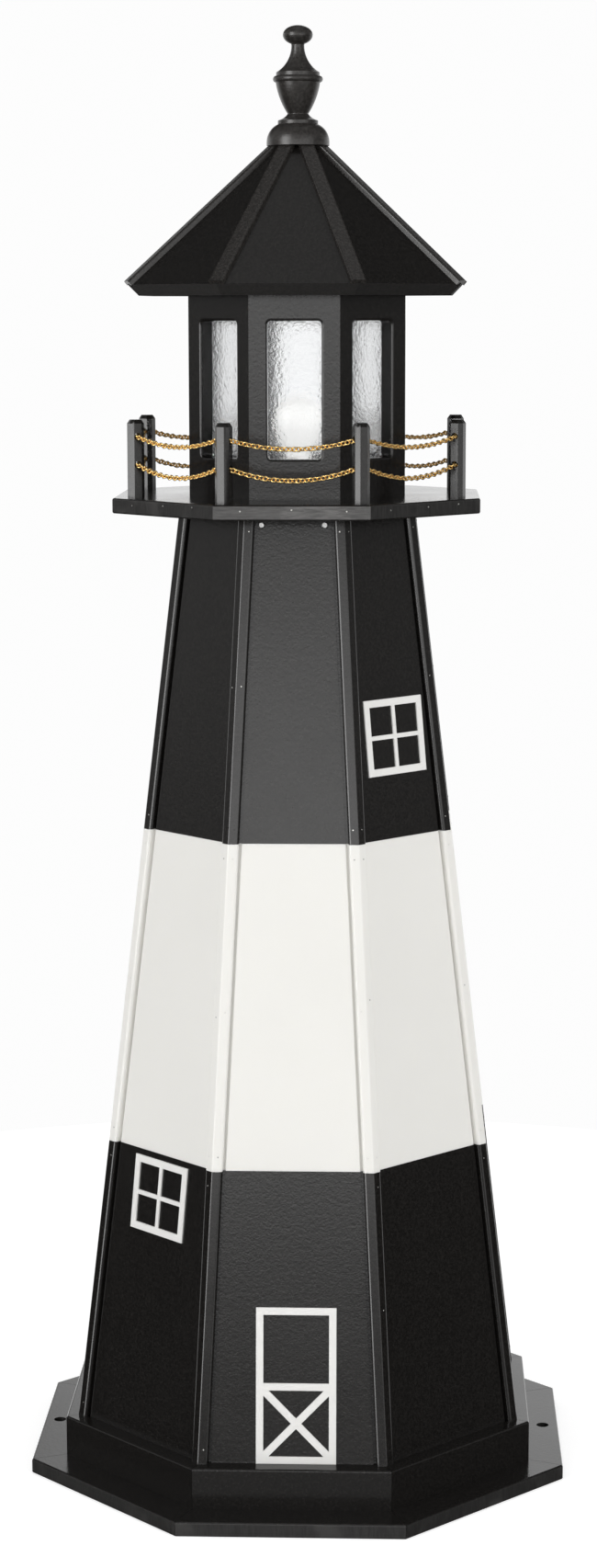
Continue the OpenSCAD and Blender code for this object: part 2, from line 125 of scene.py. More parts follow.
class TrimSettings(bpy.types.PropertyGroup):
    """The strips on the tower's corners and the railing posts."""

    corner: FloatProperty(
        name="Corner", description="Rounding of the outer corner", unit="LENGTH", default=3.0 * MM
    )
    edge: FloatProperty(
        name="Edge", description="Rounding of the two edges beside the panels", unit="LENGTH",
        default=3.6 * MM,
    )
    post: FloatProperty(
        name="Post", description="Bevel of the posts' upright edges", unit="LENGTH", default=4.8 * MM
    )
    post_top: FloatProperty(
        name="Post top", description="Share by which a post's top is drawn in", min=0, max=1, default=0.32
    )


class ChainSettings(bpy.types.PropertyGroup):
    """The brass chains."""

    link: FloatProperty(name="Link", description="Outer diameter of a link", unit="LENGTH", default=8.2 * MM)
    wire: FloatProperty(
        name="Wire", description="Thickness of the links' wire", unit="LENGTH", default=2.2 * MM
    )
    tilt: FloatProperty(
        name="Tilt", description="Most that a link is turned from its even place", subtype="ANGLE",
        default=math.radians(11),
    )
    brass: FloatVectorProperty(
        name="Brass", description="Colour of the brass", subtype="COLOR", default=(0.90, 0.62, 0.25)
    )


class PaneSettings(bpy.types.PropertyGroup):
    """The rippled clear panes."""

    width: FloatProperty(name="Width", description="Width of a pane", unit="LENGTH", default=87.8 * MM)
    thickness: FloatProperty(
        name="Thickness", description="Thickness of a pane", unit="LENGTH", default=3.0 * MM
    )
    ripple: FloatProperty(
        name="Ripple", description="Width of the ripples", unit="LENGTH", default=4.6 * MM
    )
    depth: FloatProperty(
        name="Depth", description="Depth of the ripples", unit="LENGTH", default=0.42 * MM
    )
    glue: FloatProperty(name="Glue", description="Width of a dab of glue", unit="LENGTH", default=5.0 * MM)


class NailSettings(bpy.types.PropertyGroup):
    """The brad nails."""

    head: FloatProperty(name="Head", description="Width of a nail's head", unit="LENGTH", default=2.4 * MM)
    proud: FloatProperty(
        name="Proud", description="How far a head stands proud", unit="LENGTH", default=0.3 * MM
    )
    bare: FloatProperty(
        name="Bare", description="Share of the nails whose heads show bright", min=0, max=1, default=0.45
    )
    end: FloatProperty(
        name="From the end", description="Distance of the last nail from a strip's end", unit="LENGTH",
        default=18 * MM,
    )
    inset: FloatProperty(
        name="From the corner", description="Distance of a nail from the strip's outer corner",
        unit="LENGTH", default=6.5 * MM,
    )


class StudioSettings(bpy.types.PropertyGroup):
    """The camera, the light and the floor."""

    place: FloatVectorProperty(
        name="Camera", description="Where the camera stands", subtype="TRANSLATION", unit="LENGTH",
        default=(0.14479, -3.83428, 1.47819),
    )
    yaw: FloatProperty(
        name="Yaw", description="Turn of the camera", subtype="ANGLE", default=math.radians(2.1788)
    )
    pitch: FloatProperty(
        name="Pitch", description="How far the camera looks down", subtype="ANGLE",
        default=math.radians(8.937),
    )
    roll: FloatProperty(
        name="Roll", description="Roll of the camera", subtype="ANGLE", default=math.radians(-0.121)
    )
    lens: FloatProperty(
        name="Lens", description="Focal length on a 36 mm sensor, in millimetres", default=182.67
    )
    paper: FloatProperty(name="Paper", description="Brightness of the white background", default=0.98)
    ambient: FloatProperty(name="Ambient", description="Even light from all round", default=0.66)
    boxes: FloatProperty(name="Soft boxes", description="Power of each soft box in watts", default=52.0)
    floor: FloatProperty(
        name="Floor", description="Radius of the paper that the lighthouse stands on", unit="LENGTH",
        default=1.6,
    )


# ---- nodes and meshes ----


def feed(tree, node, sockets):
    """Gives each input the value that it keeps, or the output that feeds it."""
    for name, value in sockets.items():
        if isinstance(value, bpy.types.NodeSocket):
            tree.links.new(value, node.inputs[name])
        else:
            node.inputs[name].default_value = value


def wire(tree, kind, sockets=None, **settings):
    """A new node with its settings and its fed inputs."""
    made = tree.nodes.new("ShaderNode" + kind)
    for name, value in settings.items():
        setattr(made, name, value)
    feed(tree, made, sockets or {})
    return made


def sums(tree, operation, a, b=0.0):
    """The result of a Math node."""
    return wire(tree, "Math", {0: a, 1: b}, operation=operation).outputs[0]


def blend_colour(tree, factor, a, b):
    """One colour or another by a factor from 0 to 1."""
    mix = wire(tree, "Mix", data_type="RGBA")
    sockets = {0: factor}
    for name, colour in ((6, a), (7, b)):
        sockets[name] = colour if isinstance(colour, bpy.types.NodeSocket) else (*colour, 1.0)
    feed(tree, mix, sockets)
    return mix.outputs[2]


def ramp(tree, value, low, high):
    """0 up to low and 1 from high on, smooth between; high may be the lesser of the two."""
    return wire(
        tree, "MapRange", {"Value": value, "From Min": low, "From Max": high},
        interpolation_type="SMOOTHSTEP",
    ).outputs["Result"]


def clouds(tree, place, scale, detail, **sockets):
    """A noise from 0 to 1."""
    fed = {"Vector": place, "Scale": scale, "Detail": detail, **sockets}
    return wire(tree, "TexNoise", fed).outputs["Fac"]


def stretched(tree, place, scale):
    """Coordinates scaled along X, Y and Z."""
    return wire(tree, "Mapping", {"Vector": place, "Scale": scale}).outputs[0]


def share_of(tree, vector, axis):
    """The X, Y or Z of a vector."""
    return wire(tree, "SeparateXYZ", {0: vector}).outputs[axis]


def facing(tree, axis):
    """The X, Y or Z of the way that a face points in."""
    return share_of(tree, wire(tree, "TexCoord").outputs["Normal"], axis)


def bumps(tree, height, distance, strength=1.0):
    """The relief of a height from 0 to 1, for a shader's Normal."""
    return wire(tree, "Bump", {"Height": height, "Strength": strength, "Distance": distance}).outputs[0]


def new_material(name):
    """A material with its node tree, its shader and the Object coordinates."""
    material = bpy.data.materials.new(name)
    material.use_nodes = True
    tree = material.node_tree
    return material, tree, tree.nodes["Principled BSDF"], wire(tree, "TexCoord").outputs["Object"]


def piece(name, mesh, material, body, crease=math.radians(35), flat_from=math.inf):
    """A bmesh as an object that rides on a body.

    Edges sharper than crease stay sharp, and faces with an area of flat_from or more stay flat.
    """
    data = bpy.data.meshes.new(name)
    mesh.to_mesh(data)
    mesh.free()
    made = bpy.data.objects.new(name, data)
    bpy.context.scene.collection.objects.link(made)
    data.materials.append(material)
    data.shade_smooth()
    data.set_sharp_from_angle(angle=crease)
    for face in data.polygons:
        face.use_smooth = face.area < flat_from
    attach(made, body)
    return made


def finish_nodes(material, *names):
    """Gives CAD nodes a material; a name that ends in _ stands for all that start with it."""
    for name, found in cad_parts.items():
        if any(name == n or (n.endswith("_") and name.startswith(n)) for n in names):
            found.data.materials.clear()
            found.data.materials.append(material)


def side(k):
    """Turns what is made for the front side to side k."""
    return Matrix.Rotation(SIDE_TURN * k, 4, "Z")


def trim_apothem(z):
    """Distance of the corner trims' outer faces from the axis at height z."""
    return LOWER_TRIMS[1].x - (z - LOWER_TRIMS[0].z) * LEAN


def merged_copy(name):
    """A CAD node's mesh with its corners merged and its flat faces whole."""
    mesh = bmesh.new()
    mesh.from_mesh(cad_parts[name].data)
    bmesh.ops.remove_doubles(mesh, verts=list(mesh.verts), dist=SAME_POINT)
    bmesh.ops.dissolve_limit(mesh, angle_limit=FLAT, verts=list(mesh.verts), edges=list(mesh.edges))
    return mesh


# ---- finishes ----


def pebbled(tree, place, size):
    """Height of the board's skin, from 0 up: round pebbles of mixed size that run together in places."""
    warp = wire(tree, "TexNoise", {"Vector": place, "Scale": 0.35 / size, "Detail": 1.0}).outputs["Color"]
    bent = wire(tree, "VectorMath", {0: warp, "Scale": 1.6 * size}, operation="SCALE").outputs[0]
    moved = wire(tree, "VectorMath", {0: place, 1: bent}, operation="ADD").outputs[0]
    gaps = wire(
        tree, "TexVoronoi", {"Vector": moved, "Scale": 1 / size, "Smoothness": 0.6}, feature="SMOOTH_F1"
    ).outputs["Distance"]
    domes = sums(tree, "MULTIPLY", sums(tree, "SUBTRACT", 1.0, gaps), 0.55)
    worms = sums(tree, "MULTIPLY", clouds(tree, moved, 0.45 / size, 2.0), 1.1)
    return sums(tree, "ADD", domes, worms)


def black_board(
    name="black_board", relief=1.0, tint=1.0, dull=0.0, cut_edges=False, front_sheen_and_scuffed=False, under=0.0
):
    """Black board with a pebbled, mottled satin skin.

    Relief and tint scale the pebbles and the colour, and dull adds roughness. With cut_edges the upright
    faces are saw-cut; the flag after it paints the front one of them paler as a painted reflection of the
    light in front, and paler still in one patch of real wear. Under adds roughness to faces that look down,
    such as the eave's cut edges.
    """
    boards = bpy.context.scene.lighthouse_boards
    material, tree, shader, place = new_material(name)
    height = pebbled(tree, place, boards.pebble)
    flecks = ramp(tree, clouds(tree, place, 0.6 / boards.pebble, 3.0, Roughness=0.7), 0.35, 0.70)
    black = [tint * v for v in boards.black]
    worn = [tint * v for v in boards.black_worn]
    colour = blend_colour(tree, flecks, black, worn)
    uneven = clouds(tree, place, 7.0, 4.0, Roughness=0.6)
    rough = sums(tree, "ADD", sums(tree, "MULTIPLY", uneven, 0.12), boards.gloss - 0.06 + dull)
    if under:
        down = ramp(tree, facing(tree, "Z"), -0.3, -0.6)
        rough = sums(tree, "ADD", rough, sums(tree, "MULTIPLY", down, under))
    if cut_edges:
        flat = ramp(tree, sums(tree, "ABSOLUTE", facing(tree, "Z")), 0.15, 0.6)
        edge = sums(tree, "SUBTRACT", 1.0, flat)
        marks = clouds(tree, stretched(tree, place, (1.0, 1.0, 0.12)), 420.0, 4.0)
        cut = cut_colour(tree, place, marks, boards.black_edge)
        if front_sheen_and_scuffed:
            # painted reflection: the front-facing cut faces are painted paler, standing in for the light in
            # front
            front = ramp(tree, facing(tree, "Y"), -0.9, -0.98)
            cut = blend_colour(tree, front, cut, painted_sheen_and_scuff(tree, place))
        colour = blend_colour(tree, edge, colour, cut)
        rough = sums(tree, "ADD", rough, sums(tree, "MULTIPLY", edge, 0.14))
        furrows = sums(tree, "MULTIPLY", marks, edge)
        height = sums(tree, "ADD", height, sums(tree, "MULTIPLY", furrows, 0.8))
    feed(tree, shader, {
        "Base Color": colour,
        "Roughness": rough,
        "Specular IOR Level": 0.42,
        "Normal": bumps(tree, height, boards.relief * relief),
    })
    return material


def cut_colour(tree, place, marks, edge):
    """Colour of a saw-cut edge, paler along the saw's marks and where it has been rubbed."""
    marked = blend_colour(tree, ramp(tree, marks, 0.30, 0.75), edge, [1.9 * v for v in edge])
    rubbed = ramp(tree, clouds(tree, place, 22.0, 3.0), 0.52, 0.70)
    return blend_colour(tree, rubbed, marked, [2.6 * v for v in edge])


def painted_sheen_and_scuff(tree, place):
    """Colour of the deck's front edge: painted paler all along as a painted reflection of the light in
    front, and paler still in one patch of real wear.
    """
    across = share_of(tree, place, "X")
    # half the paleness lies all along the front as painted reflection, and the rest in one patch of real
    # wear with vertical scratches
    patch = sums(tree, "MULTIPLY", ramp(tree, across, -0.016, -0.008), ramp(tree, across, 0.078, 0.066))
    sheen_and_patch = sums(tree, "ADD", sums(tree, "MULTIPLY", patch, 0.5), 0.5)
    worn = clouds(tree, stretched(tree, place, (1.0, 1.0, 9.0)), 60.0, 5.0, Roughness=0.6)
    pale = sums(tree, "MULTIPLY", sheen_and_patch, ramp(tree, worn, 0.25, 0.75))
    return blend_colour(tree, pale, (0.040, 0.039, 0.038), (0.130, 0.126, 0.123))


def white_board(name="white_board", lift=1.0):
    """White board: the same pebbled skin, so fine that it hardly shows, with faint clouding."""
    boards = bpy.context.scene.lighthouse_boards
    material, tree, shader, place = new_material(name)
    pale = [min(1.0, v * lift) for v in boards.white]
    cloudy = ramp(tree, clouds(tree, place, 5.0, 3.0), 0.35, 0.75)
    feed(tree, shader, {
        "Base Color": blend_colour(tree, cloudy, pale, [v * 0.98 for v in pale]),
        "Roughness": 0.40,
        "Subsurface Weight": 0.5,
        "Subsurface Radius": (1.0, 1.0, 0.95),
        "Subsurface Scale": 4 * MM,
        "Normal": bumps(tree, pebbled(tree, place, boards.pebble), 0.3 * boards.relief),
    })
    return material


def raw_timber():
    """Plain softwood ply of the hidden plates and rings."""
    material, tree, shader, place = new_material("inner_timber")
    grain = clouds(tree, stretched(tree, place, (1.0, 14.0, 14.0)), 9.0, 6.0, Distortion=0.6)
    feed(tree, shader, {
        "Base Color": blend_colour(
            tree, ramp(tree, grain, 0.3, 0.7), (0.50, 0.36, 0.22), (0.33, 0.21, 0.11)
        ),
        "Roughness": 0.65,
        "Normal": bumps(tree, grain, 0.3 * MM, 0.3),
    })
    return material


def plain_metal(name, colour, roughness, patch):
    """Bare metal whose roughness and tone vary in patches."""
    material, tree, shader, place = new_material(name)
    cloud = clouds(tree, place, 1 / patch, 3.0)
    feed(tree, shader, {
        "Base Color": blend_colour(tree, ramp(tree, cloud, 0.35, 0.7), colour, [v * 0.72 for v in colour]),
        "Roughness": sums(tree, "ADD", sums(tree, "MULTIPLY", cloud, 0.16), roughness - 0.08),
        "Metallic": 1.0,
    })
    return material


def clear_sheet():
    """Clear acrylic whose hammered face spreads the light."""
    material, tree, shader, place = new_material("clear_pane")
    feed(tree, shader, {
        "Base Color": (0.975, 0.98, 0.985, 1.0),
        "Transmission Weight": 1.0,
        "Roughness": 0.17,
        "IOR": 1.49,
        "Normal": bumps(tree, clouds(tree, place, 260.0, 3.0), 0.4 * MM),
    })
    return material


def dried_glue():
    """Milky dried glue."""
    material, tree, shader, place = new_material("glue_dabs")
    cloud = clouds(tree, place, 400.0, 2.0)
    feed(tree, shader, {
        "Base Color": blend_colour(tree, cloud, (0.80, 0.80, 0.79), (0.60, 0.60, 0.60)),
        "Roughness": 0.25,
        "Subsurface Weight": 0.2,
        "Subsurface Scale": 2 * MM,
    })
    return material


def opal_glass():
    """Opal glass, lit, with the bulb's threaded metal cap below it."""
    material, tree, shader, place = new_material("bulb_glass")
    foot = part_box("bulb")[0].z
    cap = sums(tree, "LESS_THAN", share_of(tree, place, "Z"), foot + BULB_CAP_H)
    thread = wire(tree, "TexWave", {"Vector": place, "Scale": 90.0}, bands_direction="Z").outputs["Fac"]
    feed(tree, shader, {
        "Base Color": blend_colour(tree, cap, (0.93, 0.92, 0.89), (0.70, 0.68, 0.62)),
        "Metallic": cap,
        "Roughness": 0.3,
        "Emission Color": (1.0, 1.0, 0.99, 1.0),
        "Emission Strength": sums(tree, "MULTIPLY", sums(tree, "SUBTRACT", 1.0, cap), 0.60),
        "Normal": bumps(tree, sums(tree, "MULTIPLY", thread, cap), 1 * MM, 0.5),
    })
    return material


def moulded_plastic():
    """Smooth white moulded plastic of the lamp holder."""
    material, tree, shader, place = new_material("lamp_plastic")
    cloud = clouds(tree, place, 40.0, 2.0)
    feed(tree, shader, {
        "Base Color": blend_colour(tree, cloud, (0.82, 0.82, 0.79), (0.75, 0.75, 0.71)),
        "Roughness": 0.28,
    })
    return material


# ---- operators: one for each piece or group of like pieces ----


class LIGHTHOUSE_OT_boards(bpy.types.Operator):
    """Finish the boards of the base, tower, gallery, lantern room and roof."""

    bl_idname = "lighthouse.boards"
    bl_label = "Boards"

    def execute(self, context):
        finish_nodes(black_board(), "skirt_boards", "lower_panel_", "upper_panel_", "lantern_wall_")
        finish_nodes(black_board("black_roof", relief=0.4, dull=0.06, under=0.6), "roof_panel_")
        finish_nodes(black_board("black_batten", relief=0.2, tint=2.2, dull=0.08), "hip_battens")
        # the finial's black is lifted 2.6 times as painted sheen, standing in for its broad highlights
        finish_nodes(black_board("black_turned_painted_sheen", relief=0.1, tint=2.6, dull=0.14), "finial")
        finish_nodes(black_board("black_board_cut", cut_edges=True), "base_boards")
        finish_nodes(black_board("black_deck_front_sheen", cut_edges=True, front_sheen_and_scuffed=True), "deck")
        finish_nodes(white_board(), "band_panels")
        finish_nodes(white_board("white_trim", 1.06), "door_trim", "upper_window_trim", "lower_window_trim")
        inner = ("lower_former", "upper_former", "lamp_platform", "deck_cleat", "roof_plate", "roof_hub")
        finish_nodes(raw_timber(), *inner)
        return {"FINISHED"}


class LIGHTHOUSE_OT_trims(bpy.types.Operator):
    """Ease the edges of the strips on the tower's corners."""

    bl_idname = "lighthouse.trims"
    bl_label = "Corner trims"

    def execute(self, context):
        black = black_board("black_trim", relief=0.2, dull=-0.02)
        white = white_board("white_corner")
        for band, material in (("lower", black), ("band", white), ("upper", black)):
            name = band + "_corner_trims"
            made = piece(name + "_eased", eased_trims(name), material, "root", flat_from=BROAD_FACE)
            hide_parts(name)
        return {"FINISHED"}


def eased_trims(name):
    """Corner trims whose two strips are one piece, with the corner and the edges by the panels rounded."""
    settings = bpy.context.scene.lighthouse_trims
    mesh = merged_copy(name)
    seam = [f for f in mesh.faces if abs(f.normal.dot(along_corner(f.calc_center_median()))) > 0.999]
    bmesh.ops.delete(mesh, geom=seam, context="FACES_ONLY")
    # the corner turns by 45 degrees and the edges beside the panels by 90
    for least, most, radius in ((30, 60, settings.corner), (70, 110, settings.edge)):
        edges = [
            e for e in mesh.edges
            if e.calc_length() > UPRIGHT_FROM
            and least < math.degrees(e.calc_face_angle(0)) < most
            and outermost(e)
        ]
        offset = radius * math.tan(math.radians(least + most) / 4)
        bmesh.ops.bevel(
            mesh, geom=edges, offset=offset, offset_type="OFFSET", affect="EDGES", segments=4, profile=0.5,
            material=-1, clamp_overlap=True,
        )
    return mesh


def along_corner(point):
    """Level direction square to the plane through the axis and the corner next to a point."""
    turn = (math.floor(math.atan2(point.x, -point.y) / SIDE_TURN) + 0.5) * SIDE_TURN
    return Vector((math.cos(turn), math.sin(turn), 0))


def outermost(edge):
    """Whether an edge lies on the trims' outer faces."""
    middle = (edge.verts[0].co + edge.verts[1].co) / 2
    turns = [SIDE_TURN * k for k in range(SIDES)]
    out = max(middle.x * math.sin(turn) - middle.y * math.cos(turn) for turn in turns)
    return abs(out - trim_apothem(middle.z)) < ON_FACE


class LIGHTHOUSE_OT_posts(bpy.types.Operator):
    """Bevel the upright edges of the railing posts and draw in their tops."""

    bl_idname = "lighthouse.posts"
    bl_label = "Posts"

    def execute(self, context):
        material = black_board("black_post", relief=0.2, dull=0.08)
        mesh = bevelled_posts()
        made = piece("posts_bevelled", mesh, material, "top", crease=math.radians(20))
        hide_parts("posts")
        return {"FINISHED"}


def bevelled_posts():
    """The posts with their upright edges cut off flat and their tops drawn in."""
    settings = bpy.context.scene.lighthouse_trims
    mesh = merged_copy("posts")
    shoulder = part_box("posts")[1].z - settings.post
    bmesh.ops.bisect_plane(
        mesh, geom=[*mesh.verts, *mesh.edges, *mesh.faces], dist=TOUCHING, plane_co=(0, 0, shoulder),
        plane_no=(0, 0, 1),
    )
    to_middle = Matrix.Translation((0, -post_ring(), 0))
    reach = (POST_W - settings.post) * math.sqrt(0.5)
    for k in range(SIDES):
        stand = side(k) @ Matrix.Rotation(SIDE_TURN / 2, 4, "Z") @ to_middle
        for quarter in range(4):
            way = Matrix.Rotation(math.pi / 4 + math.pi / 2 * quarter, 4, "Z") @ Vector((1, 0, 0))
            cut_post_edge(mesh, stand, way, reach)
        draw_in_top(mesh, stand, shoulder)
    bmesh.ops.remove_doubles(mesh, verts=list(mesh.verts), dist=5 * TOUCHING)
    bmesh.ops.dissolve_limit(mesh, angle_limit=FLAT, verts=list(mesh.verts), edges=list(mesh.edges))
    return mesh


def post_ring():
    """Distance of the posts' middles from the axis; the one furthest along X is turned by half a side."""
    half_turn = SIDE_TURN / 2
    reach = (POST_W / 2 - POST_EASE) * (math.cos(half_turn) + math.sin(half_turn)) + POST_EASE
    return (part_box("posts")[1].x - reach) / math.cos(half_turn)


def post_verts(mesh, stand):
    """The vertices of the post that stands there."""
    return [v for v in mesh.verts if (v.co.xy - stand.translation.xy).length < POST_W]


def cut_post_edge(mesh, stand, way, reach):
    """Flattens what of a post lies further than reach from its middle in one level direction."""
    near = post_verts(mesh, stand)
    edges = dict.fromkeys(e for v in near for e in v.link_edges)
    faces = dict.fromkeys(f for v in near for f in v.link_faces)
    bmesh.ops.bisect_plane(
        mesh, geom=[*near, *edges, *faces], dist=TOUCHING, plane_co=stand @ (reach * way),
        plane_no=stand.to_3x3() @ way,
    )
    back = stand.inverted()
    for v in post_verts(mesh, stand):
        over = (back @ v.co).dot(way) - reach
        if over > TOUCHING:
            v.co = stand @ (back @ v.co - over * way)


def draw_in_top(mesh, stand, shoulder):
    """Narrows a post from its shoulder up."""
    settings = bpy.context.scene.lighthouse_trims
    back = stand.inverted()
    for v in post_verts(mesh, stand):
        if v.co.z > shoulder:
            p = back @ v.co
            p.xy *= 1 - settings.post_top * ((v.co.z - shoulder) / settings.post) ** 2
            v.co = stand @ p


class LIGHTHOUSE_OT_lamp(bpy.types.Operator):
    """Finish the lamp, its riser and the two screws under the deck."""

    bl_idname = "lighthouse.lamp"
    bl_label = "Lamp and screws"

    def execute(self, context):
        finish_nodes(opal_glass(), "bulb")
        finish_nodes(moulded_plastic(), "lamp_holder")
        finish_nodes(plain_metal("zinc_tube", (0.62, 0.62, 0.60), 0.35, 20 * MM), "lamp_riser")
        finish_nodes(plain_metal("screw_steel", (0.62, 0.62, 0.61), 0.30, 3 * MM), "retaining_screws")
        return {"FINISHED"}


class LIGHTHOUSE_OT_nails(bpy.types.Operator):
    """Add the brad nails in the corner trims and in the deck's edge."""

    bl_idname = "lighthouse.nails"
    bl_label = "Nails"

    def execute(self, context):
        chance = random.Random("nails")
        bare = context.scene.lighthouse_nails.bare
        steel = plain_metal("nail_steel", (0.66, 0.65, 0.62), 0.32, 1 * MM)
        in_black = {"bare": steel, "filled": black_board("nail_black", relief=0.0, tint=2.0)}
        in_white = {"bare": white_board("nail_grey", 0.55), "filled": white_board("nail_white", 0.93)}
        for band in ("lower", "band", "upper"):
            low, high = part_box(band + "_corner_trims")
            finishes = in_white if band == "band" else in_black
            places = {"bare": [], "filled": []}
            for place in trim_nails(low.z, high.z, chance):
                places["bare" if chance.random() < bare else "filled"].append(place)
            for sort, chosen in places.items():
                piece(f"{band}_nails_{sort}", nail_heads(chosen), finishes[sort], "root")
        piece("deck_nails", nail_heads(deck_nails(chance)), steel, "top")
        return {"FINISHED"}


def trim_nails(low, high, chance):
    """Places of the nails in one band of corner trims: near the ends and about the middle of each strip."""
    settings = bpy.context.scene.lighthouse_nails
    middle = (low + high) / 2
    places = []
    for k in range(SIDES):
        for hand in (-1, 1):
            for z in (low + settings.end, middle, high - settings.end):
                if z == middle:
                    z += chance.uniform(-NAIL_STRAY, NAIL_STRAY)
                a = trim_apothem(z)
                across = hand * (a * HALF_SIDE - settings.inset)
                face = Matrix.Translation((across, -a, z)) @ Matrix.Rotation(math.pi / 2 - TAPER, 4, "X")
                places.append(side(k) @ face)
    return places


def deck_nails(chance):
    """Places of the nails in the deck's edge, three on each side."""
    low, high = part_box("deck")
    places = []
    for k in range(SIDES):
        for share in (-0.62, 0.05, 0.66):
            across = (share + chance.uniform(-0.08, 0.08)) * high.x * HALF_SIDE
            up = chance.uniform(0.4, 0.75) * (high.z - low.z)
            face = Matrix.Translation((across, -high.x, low.z + up)) @ Matrix.Rotation(math.pi / 2, 4, "X")
            places.append(side(k) @ face)
    return places


def nail_heads(places):
    """Low round heads, each a little domed, at places whose Z points out of the board."""
    settings = bpy.context.scene.lighthouse_nails
    around = 10
    mesh = bmesh.new()
    for place in places:
        head = bmesh.ops.create_cone(
            mesh, cap_ends=True, segments=around, radius1=settings.head / 2, radius2=0.34 * settings.head,
            depth=2 * settings.proud, matrix=place,
        )["verts"]
        ends = [f for f in {f for v in head for f in v.link_faces} if len(f.verts) == around]
        bmesh.ops.inset_region(mesh, faces=ends, thickness=0.14 * settings.head, depth=0.0)
    return mesh


class LIGHTHOUSE_OT_chains(bpy.types.Operator):
    """Model the two chains link by link, each link a little out of true."""

    bl_idname = "lighthouse.chains"
    bl_label = "Chains"

    def execute(self, context):
        material = plain_metal("chain_brass", context.scene.lighthouse_chains.brass, 0.24, 4 * MM)
        for name in ("upper_chain", "lower_chain"):
            made = piece(name + "_links", chain_mesh(name), material, "top", crease=math.pi)
            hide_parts(name)
        return {"FINISHED"}


def chain_mesh(name):
    """Round links along the catenaries between the posts, at the packed chain's pitch and height."""
    settings = bpy.context.scene.lighthouse_chains
    low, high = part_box(name)
    half_turn = SIDE_TURN / 2
    ring = post_ring()
    mouth_x = ring * math.sin(half_turn) - POST_W / 2 * math.cos(half_turn)
    mouth_y = -ring * math.cos(half_turn) - POST_W / 2 * math.sin(half_turn)
    # the links lie at 45 degrees to the upright
    link_reach = (settings.link - settings.wire) / 2 * math.sin(math.pi / 4) + settings.wire / 2
    sag = high.z - low.z - 2 * link_reach
    hole_z = high.z - link_reach
    slack = mouth_x * mouth_x / 2 / sag
    for _ in range(8):
        slack *= slack * (math.cosh(mouth_x / slack) - 1) / sag
    half = slack * math.sinh(mouth_x / slack)
    total = 2 * half + POST_W
    links = 2 * round(total / 2 / (settings.link - 2 * PACKED_WIRE - LINK_PLAY))
    pitch = total / links

    def point(s):
        """Where the chain runs at a length from the middle of its span."""
        if abs(s) <= half:
            height = math.hypot(slack, s) - slack * math.cosh(mouth_x / slack)
            return Vector((slack * math.asinh(s / slack), mouth_y, hole_z + height))
        into = abs(s) - half
        x = math.copysign(mouth_x + into * math.cos(half_turn), s)
        return Vector((x, mouth_y + into * math.sin(half_turn), hole_z))

    chance = random.Random(name)
    link = ring_mesh((settings.link - settings.wire) / 2, settings.wire / 2)
    mesh = bmesh.new()
    for k in range(SIDES):
        for i in range(links):
            s = (i + 0.5) * pitch - total / 2
            along = point(s + pitch / 2) - point(s - pitch / 2)
            turn = math.pi / 4 + math.pi / 2 * (i % 2) + chance.uniform(-settings.tilt, settings.tilt)
            level = along.to_track_quat("X", "Z").to_matrix().to_4x4()
            placed = link.copy()
            placed.transform(
                side(k) @ Matrix.Translation(point(s)) @ level @ Matrix.Rotation(turn, 4, "X")
            )
            mesh.from_mesh(placed)
            bpy.data.meshes.remove(placed)
    bpy.data.meshes.remove(link)
    return mesh


def ring_mesh(radius, wire_radius, around=14, across=6):
    """A wire ring in the XY plane, as mesh data."""
    mesh = bmesh.new()
    section = bmesh.ops.create_circle(
        mesh, segments=across, radius=wire_radius,
        matrix=Matrix.Translation((radius, 0, 0)) @ Matrix.Rotation(math.pi / 2, 4, "X"),
    )["verts"]
    bmesh.ops.spin(
        mesh, geom=section + list(mesh.edges), axis=(0, 0, 1), cent=(0, 0, 0), steps=around,
        angle=2 * math.pi, use_merge=True,
    )
    bmesh.ops.recalc_face_normals(mesh, faces=list(mesh.faces))
    data = bpy.data.meshes.new("ring")
    mesh.to_mesh(data)
    mesh.free()
    return data


class LIGHTHOUSE_OT_panes(bpy.types.Operator):
    """Model the rippled panes and the dabs of glue at their corners."""

    bl_idname = "lighthouse.panes"
    bl_label = "Panes"

    def execute(self, context):
        sheet = clear_sheet()
        crease = math.radians(60)
        panes = [
            piece(f"rippled_pane_{k + 1}", rippled_pane(k), sheet, "top", crease=crease)
            for k in range(SIDES)
        ]
        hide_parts("window_panes")
        piece("pane_glue", glue_dabs(), dried_glue(), "top", crease=math.pi)
        return {"FINISHED"}


def pane_stand(k):
    """Stands what is drawn round the origin up on the outer face of the pane of side k."""
    low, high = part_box("window_panes")
    middle = Matrix.Translation((0, -high.x, (low.z + high.z) / 2))
    return side(k) @ middle @ Matrix.Rotation(math.pi / 2, 4, "X")


def rippled_pane(k):
    """One pane: a flat inner face and a hammered outer one."""
    settings = bpy.context.scene.lighthouse_panes
    low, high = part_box("window_panes")
    mesh = bmesh.new()
    grid = bmesh.ops.create_grid(mesh, x_segments=48, y_segments=104, size=0.5)["verts"]
    bmesh.ops.scale(mesh, vec=(settings.width, high.z - low.z, 1), verts=grid)
    back = bmesh.ops.extrude_face_region(mesh, geom=list(mesh.faces), use_keep_orig=True)["geom"]
    moved = [g for g in back if isinstance(g, bmesh.types.BMVert)]
    bmesh.ops.translate(mesh, vec=(0, 0, -settings.thickness), verts=moved)
    for v in grid:
        v.co.z -= settings.depth * (0.5 + 0.5 * ripple(v.co, settings.ripple, k))
    bmesh.ops.recalc_face_normals(mesh, faces=list(mesh.faces))
    bmesh.ops.transform(mesh, matrix=pane_stand(k), verts=list(mesh.verts))
    return mesh


def ripple(co, size, seed):
    """Height of a pane's hammered face, about -1 to 1; the ripples are longer than wide and lean."""
    lean = 0.35
    p = Vector(((co.x + lean * co.y) / size, 0.55 * co.y / size, 7.3 * seed))
    return 0.75 * noise.noise(p) + 0.4 * noise.noise(2.1 * p + Vector((4.1, 0, 0)))


